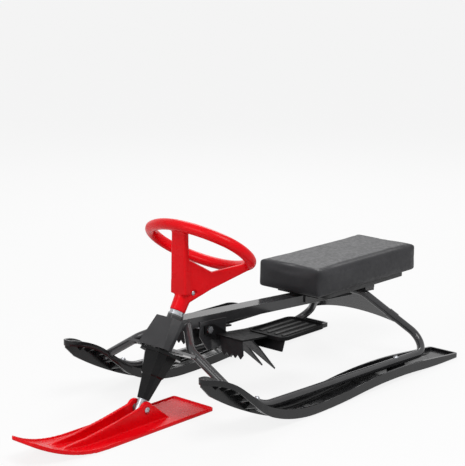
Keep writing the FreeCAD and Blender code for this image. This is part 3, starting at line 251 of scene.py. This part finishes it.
def makeBlackMoulding():
    black, tree, shader, place = startFinish("blackMoulding")
    tint = shades(tree, grain(tree, place, scale=16, detail=3), (0.007, 0.007, 0.008), (0.012, 0.012, 0.013))
    streaks = grain(tree, place, scale=90, detail=3, rough=0.55, stretch=(0.04, 1, 1))
    scratch = spread(tree, streaks, low=0.0, high=0.2, fromLow=0.62, fromHigh=0.85)
    coloured(tree, shader, blended(tree, scratch, tint, over=(0.04, 0.04, 0.042)))
    roughened(tree, shader, grain(tree, place, scale=30, detail=4), low=0.15, high=0.24)
    shader.inputs["Specular IOR Level"].default_value = 0.32
    embossed(tree, shader, grain(tree, place, scale=24, detail=2), strength=0.04, depth=0.001)
    return black


def makeShadedCoverBlack():
    black, tree, shader, place = startFinish("coverBlackPaintedShade")
    # the tint is painted shade, a darker copy of the skis' black for the cover's dimmer reflection; the
    # rubbed streaks are wear
    clouds = grain(tree, place, scale=34, detail=3)
    tint = shades(tree, clouds, (0.0035, 0.0035, 0.004), (0.007, 0.007, 0.0075))
    streaks = grain(tree, place, scale=120, detail=5, rough=0.7, stretch=(1, 1, 0.25))
    rubbed = spread(tree, streaks, low=0.0, high=0.35, fromLow=0.62, fromHigh=0.82)
    coloured(tree, shader, blended(tree, rubbed, tint, over=(0.025, 0.025, 0.027)))
    roughened(tree, shader, grain(tree, place, scale=55, detail=4), low=0.14, high=0.26)
    shader.inputs["Specular IOR Level"].default_value = 0.14
    embossed(tree, shader, grain(tree, place, scale=300, detail=2), strength=0.03, depth=0.0004)
    return black


def makeFramePaint():
    paint, tree, shader, place = startFinish("framePaint")
    tint = shades(tree, grain(tree, place, scale=20, detail=3), (0.029, 0.029, 0.031), (0.04, 0.04, 0.0425))
    flakes = grain(tree, place, scale=110, detail=6, rough=0.8)
    chips = spread(tree, flakes, low=0.0, high=1.0, fromLow=0.76, fromHigh=0.8)
    coloured(tree, shader, blended(tree, chips, tint, over=(0.09, 0.09, 0.095)))
    roughened(tree, shader, grain(tree, place, scale=18, detail=3), low=0.13, high=0.19)
    shader.inputs["Specular IOR Level"].default_value = 0.42
    embossed(tree, shader, grain(tree, place, scale=420, detail=2), strength=0.012, depth=0.0004)
    return paint


def makeCowlPlastic():
    plastic, tree, shader, place = startFinish("cowlPlastic")
    clouds = grain(tree, place, scale=26, detail=3)
    coloured(tree, shader, shades(tree, clouds, (0.024, 0.024, 0.0255), (0.035, 0.035, 0.037)))
    roughened(tree, shader, grain(tree, place, scale=90, detail=3), low=0.38, high=0.5)
    shader.inputs["Specular IOR Level"].default_value = 0.3
    embossed(tree, shader, pebbles(tree, place, scale=900), strength=0.22, depth=0.0004)
    return plastic


def makeZincPlate():
    zinc, tree, shader, place = startFinish("zincPlate")
    clouds = grain(tree, place, scale=140, detail=4)
    coloured(tree, shader, shades(tree, clouds, (0.3, 0.31, 0.33), (0.46, 0.47, 0.49)))
    shader.inputs["Metallic"].default_value = 1.0
    roughened(tree, shader, grain(tree, place, scale=260, detail=4), low=0.24, high=0.42)
    brushing = grain(tree, place, scale=700, detail=3, rough=0.6, stretch=(1, 1, 0.15))
    embossed(tree, shader, brushing, strength=0.08, depth=0.0003)
    return zinc


def makeSeatLeather():
    leather, tree, shader, place = startFinish("seatLeather")
    tint = shades(tree, grain(tree, place, scale=15, detail=4), (0.019, 0.019, 0.0212), (0.03, 0.03, 0.033))
    pebbling = pebbles(tree, place, scale=560)
    pores = spread(tree, pebbling, low=0.35, high=0.0, fromLow=0.0, fromHigh=0.35)
    coloured(tree, shader, blended(tree, pores, tint, over=(0.02, 0.02, 0.022)))
    roughened(tree, shader, grain(tree, place, scale=120, detail=5), low=0.42, high=0.58)
    shader.inputs["Specular IOR Level"].default_value = 0.26
    fine = embossed(tree, shader, pebbling, strength=0.3, depth=0.0008)
    embossed(tree, shader, grain(tree, place, scale=60, detail=5), strength=0.12, depth=0.002, under=fine)
    return leather


def makeBoardBlack():
    board, tree, shader, place = startFinish("boardBlack")
    streaks = grain(tree, place, scale=30, detail=4, rough=0.6, stretch=(0.3, 2, 2))
    coloured(tree, shader, shades(tree, streaks, (0.016, 0.016, 0.017), (0.03, 0.03, 0.031)))
    roughened(tree, shader, grain(tree, place, scale=110, detail=4), low=0.5, high=0.7)
    fibres = grain(tree, place, scale=300, detail=4, rough=0.6, stretch=(0.2, 1, 1))
    embossed(tree, shader, fibres, strength=0.2, depth=0.0006)
    return board


def makePedalPlastic():
    plastic, tree, shader, place = startFinish("pedalPlastic")
    clouds = grain(tree, place, scale=40, detail=4)
    tint = shades(tree, clouds, (0.005, 0.005, 0.0054), (0.011, 0.011, 0.0116))
    patches = grain(tree, place, scale=120, detail=6, rough=0.75)
    worn = spread(tree, patches, low=0.0, high=0.6, fromLow=0.6, fromHigh=0.78)
    coloured(tree, shader, blended(tree, worn, tint, over=(0.03, 0.03, 0.032)))
    roughened(tree, shader, grain(tree, place, scale=80, detail=4), low=0.42, high=0.6)
    shader.inputs["Specular IOR Level"].default_value = 0.06
    embossed(tree, shader, pebbles(tree, place, scale=700), strength=0.2, depth=0.0005)
    return plastic


def makeBrakeSteel():
    steel, tree, shader, place = startFinish("brakeSteel")
    tint = shades(tree, grain(tree, place, scale=45, detail=4), (0.015, 0.015, 0.0165), (0.028, 0.028, 0.03))
    height = tree.nodes.new("ShaderNodeSeparateXYZ")
    tree.links.new(place, height.inputs[0])
    ragged = tree.nodes.new("ShaderNodeMath")  # bare metal shows where the teeth dig in
    ragged.operation = "MULTIPLY_ADD"
    tree.links.new(grain(tree, place, scale=190, detail=5, rough=0.7), ragged.inputs[0])
    ragged.inputs[1].default_value = 0.03
    tree.links.new(height.outputs["Z"], ragged.inputs[2])
    bare = spread(tree, ragged.outputs[0], low=1.0, high=0.0, fromLow=0.082, fromHigh=0.096)
    coloured(tree, shader, blended(tree, bare, tint, over=(0.07, 0.07, 0.074)))
    metal = spread(tree, bare, low=0.0, high=0.55, fromLow=0.0, fromHigh=1.0)
    tree.links.new(metal, shader.inputs["Metallic"])
    roughened(tree, shader, grain(tree, place, scale=160, detail=4), low=0.36, high=0.54)
    shader.inputs["Specular IOR Level"].default_value = 0.08
    embossed(tree, shader, grain(tree, place, scale=480, detail=4), strength=0.15, depth=0.0005)
    return steel


def makeTreadRubber():
    rubber, tree, shader, place = startFinish("treadRubber")
    clouds = grain(tree, place, scale=70, detail=4)
    coloured(tree, shader, shades(tree, clouds, (0.012, 0.012, 0.012), (0.028, 0.028, 0.028)))
    roughened(tree, shader, grain(tree, place, scale=150, detail=3), low=0.65, high=0.85)
    ribs = tree.nodes.new("ShaderNodeTexWave")
    ribs.inputs["Scale"].default_value = 55
    tree.links.new(place, ribs.inputs["Vector"])
    embossed(tree, shader, ribs.outputs["Fac"], strength=0.5, depth=0.0012)
    return rubber


def makeBushPlastic():
    nylon, tree, shader, place = startFinish("bushPlastic")
    clouds = grain(tree, place, scale=90, detail=3)
    coloured(tree, shader, shades(tree, clouds, (0.06, 0.06, 0.06), (0.1, 0.1, 0.1)))
    roughened(tree, shader, grain(tree, place, scale=200, detail=3), low=0.35, high=0.5)
    embossed(tree, shader, grain(tree, place, scale=500, detail=2), strength=0.1, depth=0.0004)
    return nylon


finishes = {
    "red_plastic": makeRedMoulding(), "black_gloss": makeBlackMoulding(), "frame_paint": makeFramePaint(),
    "cowl_plastic": makeCowlPlastic(), "zinc": makeZincPlate(), "seat_cover": makeSeatLeather(),
    "board_plastic": makeBoardBlack(), "pedal_plastic": makePedalPlastic(), "brake_steel": makeBrakeSteel(),
    "tread_rubber": makeTreadRubber(), "bush_plastic": makeBushPlastic(),
}


def wear(piece, slotName):
    piece.data.materials.clear()
    piece.data.materials.append(finishes[slotName])


for subpart in frame["record"]["subparts"]:
    wear(nodes[subpart["node"]], subpart["material_slot"])
nodes["column_cover"].data.materials[0] = makeShadedCoverBlack()  # painted shade: a darker, less glossy copy of the skis' black, standing in for the dimmer reflection on the cover
print("finishes on", len(nodes), "solids")


# soft edges on the folded and welded pieces

joinGap = 0.00002  # corners of a solid's faces closer than this are one point
softEdgeSet = {"segments": 2, "sharpDeg": 32}
softEdgeWidths = {
    "main_beam": 0.003, "head_brace": 0.0012, "cowl": 0.0035, "column_cover": 0.003, "brake_bracket": 0.0008,
    "seat_bracket_front": 0.001, "seat_bracket_rear": 0.001, "seat_board": 0.0015,
    "pedal_left": 0.001, "pedal_right": 0.001, "rear_ski_left": 0.0014, "rear_ski_right": 0.0014,
}


def softenEdges(piece, width):
    weld = piece.modifiers.new("join", "WELD")
    weld.merge_threshold = joinGap
    edge = piece.modifiers.new("softEdge", "BEVEL")
    edge.width = width
    edge.segments = softEdgeSet["segments"]
    edge.limit_method = "ANGLE"
    edge.angle_limit = math.radians(softEdgeSet["sharpDeg"])
    edge.harden_normals = True


for nodeName, width in softEdgeWidths.items():
    softenEdges(nodes[nodeName], width)
print("edges softened on", len(softEdgeWidths), "solids")


# moulded pieces: same form as the solid, with the rounded edges of a casting

wheelSet = {"grid": 0.0016, "rounds": 14, "slot": "red_plastic", "body": "steering"}
frontSkiSet = {"grid": 0.0017, "rounds": 5, "slot": "red_plastic", "body": "front_runner"}


def skinOver(piece, grid):  # the active piece's surface again, as one even mesh
    skin = piece.modifiers.new("skin", "REMESH")
    skin.mode = "VOXEL"
    skin.voxel_size = grid
    bpy.ops.object.modifier_apply(modifier="skin")


def easeOver(piece, rounds):
    ease = piece.modifiers.new("ease", "SMOOTH")
    ease.iterations = rounds
    bpy.ops.object.modifier_apply(modifier="ease")


def mouldFrom(nodeName, pieceName, setup):
    piece = bpy.data.objects.new(pieceName, nodes[nodeName].data.copy())
    scene.collection.objects.link(piece)
    takeUp(piece)
    bpy.ops.object.mode_set(mode="EDIT")
    bpy.ops.mesh.select_all(action="SELECT")
    bpy.ops.mesh.remove_doubles(threshold=joinGap)
    bpy.ops.object.mode_set(mode="OBJECT")
    skinOver(piece, setup["grid"])
    easeOver(piece, setup["rounds"])
    bpy.ops.object.shade_smooth()
    wear(piece, setup["slot"])
    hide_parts(nodeName)
    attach(piece, setup["body"])
    print(pieceName, "moulded,", len(piece.data.polygons), "faces")


mouldFrom("steering_wheel", "steeringWheel", wheelSet)
mouldFrom("front_ski", "frontSki", frontSkiSet)


# seat pad: a foam block in a tight cover, blown up a little and held flat on its board

padSet = {
    "inset": 0.0028, "corner": 0.0065, "cornerSteps": 4, "grid": 0.0035, "held": 0.006, "pressure": 2.0,
    "cap": 0.0026, "frames": 20, "rounds": 3, "fineness": 1, "fill": 0.85,
}


def boxBlock(name, low, high):
    noneSelected()
    middle = (Vector(low) + Vector(high)) / 2
    bpy.ops.mesh.primitive_cube_add(size=1, location=middle)
    block = bpy.context.object
    block.name = name
    block.scale = Vector(high) - Vector(low)
    bpy.ops.object.transform_apply(location=True, rotation=True, scale=True)
    return block


def puffUp(pad, bottom):
    held = pad.vertex_groups.new(name="held")
    held.add([v.index for v in pad.data.vertices if v.co.z < bottom + padSet["held"]], 1.0, "REPLACE")
    before = [v.co.copy() for v in pad.data.vertices]
    puff = pad.modifiers.new("puff", "CLOTH")
    puff.settings.use_pressure = True
    puff.settings.uniform_pressure_force = padSet["pressure"]
    puff.settings.vertex_group_mass = "held"
    puff.settings.effector_weights.gravity = 0
    for step in range(1, padSet["frames"] + 1):
        scene.frame_set(step)
    takeUp(pad)
    bpy.ops.object.modifier_apply(modifier="puff")
    for vertex, start in zip(pad.data.vertices, before):  # the cover gives only so far
        move = vertex.co - start
        if move.length > padSet["cap"]:
            vertex.co = start + move * (padSet["cap"] / move.length)
    scene.frame_set(1)
    pad.vertex_groups.clear()


def sewSeatPad():
    low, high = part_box("seat_cushion")
    inset = Vector((padSet["inset"], padSet["inset"], 0))
    pad = boxBlock("seatPad", low + inset, high - inset - Vector((0, 0, padSet["inset"])))
    bpy.ops.object.mode_set(mode="EDIT")
    bpy.ops.mesh.select_all(action="SELECT")
    bpy.ops.mesh.bevel(offset=padSet["corner"], segments=padSet["cornerSteps"])
    bpy.ops.object.mode_set(mode="OBJECT")
    skinOver(pad, padSet["grid"])
    puffUp(pad, low.z)
    easeOver(pad, padSet["rounds"])
    fine = pad.modifiers.new("fine", "SUBSURF")
    fine.levels = padSet["fineness"]
    fine.render_levels = padSet["fineness"]
    bpy.ops.object.modifier_apply(modifier="fine")
    bpy.ops.object.shade_smooth()
    wear(pad, "seat_cover")
    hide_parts("seat_cushion")
    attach(pad, "frame")
    print("seat pad sewn,", len(pad.data.polygons), "faces")


sewSeatPad()


# stiffening ribs along the floor of each rear ski

floorRibSet = {
    "xFrom": -0.57, "xTo": 0.075, "off": 0.0235, "half": 0.0032, "steps": 96, "stepsAcross": 6, "drop": 0.2,
    "rise": 0.0042, "sink": 0.0013, "runOut": 0.03, "joinGap": 0.00005, "sharpDeg": 50,
}
skiLow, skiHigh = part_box("rear_ski_left")
skiY = (skiLow.y + skiHigh.y) / 2


def layFloorRib(name, off):
    noneSelected()
    length = floorRibSet["xTo"] - floorRibSet["xFrom"]
    middle = (floorRibSet["xTo"] + floorRibSet["xFrom"]) / 2
    bpy.ops.mesh.primitive_grid_add(
        x_subdivisions=floorRibSet["steps"], y_subdivisions=floorRibSet["stepsAcross"], size=1,
        location=(middle, skiY + off, floorRibSet["drop"]))
    rib = bpy.context.object
    rib.name = name
    rib.scale = (length, 2 * floorRibSet["half"], 1)
    bpy.ops.object.transform_apply(location=True, rotation=True, scale=True)
    settle = rib.modifiers.new("settle", "SHRINKWRAP")
    settle.target = nodes["rear_ski_left"]
    settle.wrap_method = "PROJECT"
    settle.use_project_z = True
    settle.use_negative_direction = True
    settle.use_positive_direction = False
    bpy.ops.object.modifier_apply(modifier="settle")
    bpy.ops.object.mode_set(mode="EDIT")
    bpy.ops.mesh.select_all(action="SELECT")
    bpy.ops.mesh.extrude_region_move(TRANSFORM_OT_translate={"value": (0, 0, floorRibSet["rise"])})
    shape = bmesh.from_edit_mesh(rib.data)
    for vertex in shape.verts:  # a round back that runs out at both ends, on a foot sunk into the floor
        if vertex.select:
            across = abs(vertex.co.y - skiY - off) / floorRibSet["half"]
            fromEnd = min(vertex.co.x - floorRibSet["xFrom"], floorRibSet["xTo"] - vertex.co.x)
            ends = min(1.0, max(0.0, fromEnd / floorRibSet["runOut"]))
            crown = math.sqrt(max(0.0, 1 - across ** 2)) * math.sin(ends * math.pi / 2)
            vertex.co.z -= floorRibSet["rise"] * (1 - crown)
        else:
            vertex.co.z -= floorRibSet["sink"]
    bmesh.update_edit_mesh(rib.data)
    bpy.ops.mesh.select_all(action="SELECT")
    bpy.ops.mesh.remove_doubles(threshold=floorRibSet["joinGap"])
    bpy.ops.mesh.normals_make_consistent(inside=False)
    bpy.ops.object.mode_set(mode="OBJECT")
    bpy.ops.object.shade_smooth_by_angle(angle=math.radians(floorRibSet["sharpDeg"]))
    return rib


def mirroredCopy(piece, name):  # its own mesh on the other side of the sled
    twin = piece.copy()
    twin.data = piece.data.copy()
    twin.name = name
    scene.collection.objects.link(twin)
    takeUp(twin)
    twin.scale = (1, -1, 1)
    bpy.ops.object.transform_apply(location=False, rotation=False, scale=True)
    bpy.ops.object.mode_set(mode="EDIT")
    bpy.ops.mesh.select_all(action="SELECT")
    bpy.ops.mesh.normals_make_consistent(inside=False)
    bpy.ops.object.mode_set(mode="OBJECT")
    return twin


def settleOn(pieces, slotName, bodyName):
    for piece in pieces:
        wear(piece, slotName)
        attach(piece, bodyName)


floorRibs = []
for word, off in (("Outer", floorRibSet["off"]), ("Inner", -floorRibSet["off"])):
    rib = layFloorRib("floorRibLeft" + word, off)
    floorRibs += [rib, mirroredCopy(rib, "floorRibRight" + word)]
settleOn(floorRibs, "black_gloss", "frame")
print("floor ribs laid:", len(floorRibs))


# cross ribs under the upturned tips, between the keel and the walls

tipRibSet = {
    "xs": (0.186, 0.21, 0.234, 0.258, 0.28), "thick": 0.003, "deep": 0.013, "shallow": 0.0016, "slope": 0.7,
    "keel": 0.0012, "wall": 0.0055, "sink": 0.0012, "edge": 0.0005, "edgeSteps": 2, "sharpDeg": 40,
    "probe": 0.0113, "clear": 0.02, "above": 0.004,
}


def firstHit(piece, start, along):
    hit, spot, facing, face = piece.ray_cast(Vector(start), Vector(along))
    return spot


def cutTipRib(name, x, side):
    ski = nodes["rear_ski_left"]  # measured on its outer half, because the leg passes through the inner one
    under = firstHit(ski, (x, skiY + tipRibSet["probe"], skiLow.z - tipRibSet["clear"]), (0, 0, 1)).z
    wall = firstHit(ski, (x, skiHigh.y + tipRibSet["clear"], under + tipRibSet["above"]), (0, -1, 0)).y
    near = skiY + side * tipRibSet["keel"]
    far = skiY + side * (wall - skiY - tipRibSet["wall"] + tipRibSet["sink"])
    half = tipRibSet["thick"] / 2
    rib = boxBlock(name, (x - half, min(near, far), under - tipRibSet["deep"]),
                   (x + half, max(near, far), under + tipRibSet["sink"]))
    bpy.ops.object.mode_set(mode="EDIT")
    shape = bmesh.from_edit_mesh(rib.data)
    for vertex in shape.verts:  # deep at the keel, shallow at the wall, and sloped with the floor
        if vertex.co.z < under and abs(vertex.co.y - far) < tipRibSet["edge"]:
            vertex.co.z = under - tipRibSet["shallow"]
        vertex.co.z += (vertex.co.x - x) * tipRibSet["slope"]
    bmesh.update_edit_mesh(rib.data)
    bpy.ops.mesh.select_all(action="SELECT")
    bpy.ops.mesh.bevel(offset=tipRibSet["edge"], segments=tipRibSet["edgeSteps"])
    bpy.ops.object.mode_set(mode="OBJECT")
    bpy.ops.object.shade_smooth_by_angle(angle=math.radians(tipRibSet["sharpDeg"]))
    return rib


tipRibs = []
for row, x in enumerate(tipRibSet["xs"], start=1):
    for word, side in (("Outer", 1), ("Inner", -1)):
        rib = cutTipRib("tipRibLeft%s%d" % (word, row), x, side)
        tipRibs += [rib, mirroredCopy(rib, "tipRibRight%s%d" % (word, row))]
settleOn(tipRibs, "black_gloss", "frame")
print("tip ribs cut:", len(tipRibs))


# weld beads where tubes and plates of the frame meet

weldSet = {
    "near": 0.0003, "sharpDeg": 25, "apart": 0.012, "shortest": 0.01, "bead": 0.0021, "roundness": 3,
    "grid": 0.0009, "wobble": 0.0004, "pitch": 0.0045, "rounds": 2,
}
weldPairs = (
    ("side_tube_left", "main_beam"), ("side_tube_right", "main_beam"),
    ("rear_leg_left", "main_beam"), ("rear_leg_right", "main_beam"),
    ("head_brace", "side_tube_left"), ("head_brace", "side_tube_right"),
    ("rear_gusset", "rear_leg_left"), ("rear_gusset", "rear_leg_right"),
)


def seamEdges(pieceName, againstName):  # sharp edges of one solid that lie on the other
    source = bmesh.new()
    source.from_mesh(nodes[pieceName].data)
    bmesh.ops.remove_doubles(source, verts=source.verts, dist=joinGap)
    against = nodes[againstName]
    touching = set()
    for vertex in source.verts:
        hit, spot, facing, face = against.closest_point_on_mesh(vertex.co)
        if hit and (spot - vertex.co).length < weldSet["near"]:
            touching.add(vertex.index)
    pairs = []
    for edge in source.edges:
        ends = [v.index for v in edge.verts]
        if touching.issuperset(ends) and len(edge.link_faces) == 2:
            if edge.calc_face_angle(0) > math.radians(weldSet["sharpDeg"]):
                pairs.append(tuple(ends))
    spots = {v.index: v.co.copy() for v in source.verts}
    source.free()
    return pairs, spots


def connectedRuns(pairs, spots):  # each run of edges as its length, its middle and its edges
    neighbours = {}
    for a, b in pairs:
        neighbours.setdefault(a, []).append(b)
        neighbours.setdefault(b, []).append(a)
    runs, seen = [], set()
    for start in sorted(neighbours):
        if start in seen:
            continue
        group, queue = set(), [start]
        while queue:
            here = queue.pop()
            if here not in group:
                group.add(here)
                queue += neighbours[here]
        seen |= group
        edges = [pair for pair in pairs if pair[0] in group]
        middle = sum((spots[i] for i in group), Vector()) / len(group)
        runs.append((sum((spots[a] - spots[b]).length for a, b in edges), middle, edges))
    return runs


def outerRuns(runs):  # the long ones, without the smaller loop inside a tube
    kept = []
    for length, middle, edges in sorted(runs, key=lambda run: -run[0]):
        alone = all((middle - other).length > weldSet["apart"] for size, other, rest in kept)
        if alone and length > weldSet["shortest"]:
            kept.append((length, middle, edges))
    return kept


def runBeads(name, pieceName, againstName):
    pairs, spots = seamEdges(pieceName, againstName)
    runs = outerRuns(connectedRuns(pairs, spots))
    index = {}
    corners, edges = [], []
    for length, middle, run in runs:
        for pair in run:
            for i in pair:
                if i not in index:
                    index[i] = len(corners)
                    corners.append(spots[i])
            edges.append((index[pair[0]], index[pair[1]]))
    wire = bpy.data.meshes.new(name)
    wire.from_pydata(corners, edges, [])
    bead = bpy.data.objects.new(name, wire)
    scene.collection.objects.link(bead)
    takeUp(bead)
    bpy.ops.object.convert(target="CURVE")
    bead = bpy.context.object
    bead.data.bevel_depth = weldSet["bead"]
    bead.data.bevel_resolution = weldSet["roundness"]
    bead.data.use_fill_caps = True
    bpy.ops.object.convert(target="MESH")
    bead = bpy.context.object
    skinOver(bead, weldSet["grid"])
    bpy.ops.object.mode_set(mode="EDIT")
    shape = bmesh.from_edit_mesh(bead.data)
    for vertex in shape.verts:  # the ripple that a torch leaves
        ripple = noise.noise(vertex.co / weldSet["pitch"])
        vertex.co += vertex.normal * ripple * weldSet["wobble"]
    bmesh.update_edit_mesh(bead.data)
    bpy.ops.object.mode_set(mode="OBJECT")
    easeOver(bead, weldSet["rounds"])
    bpy.ops.object.shade_smooth()
    settleOn([bead], "frame_paint", "frame")
    print(name, "welded,", len(runs), "runs,", len(bead.data.polygons), "faces")


for number, (pieceName, againstName) in enumerate(weldPairs, start=1):
    runBeads("weldBead%d" % number, pieceName, againstName)
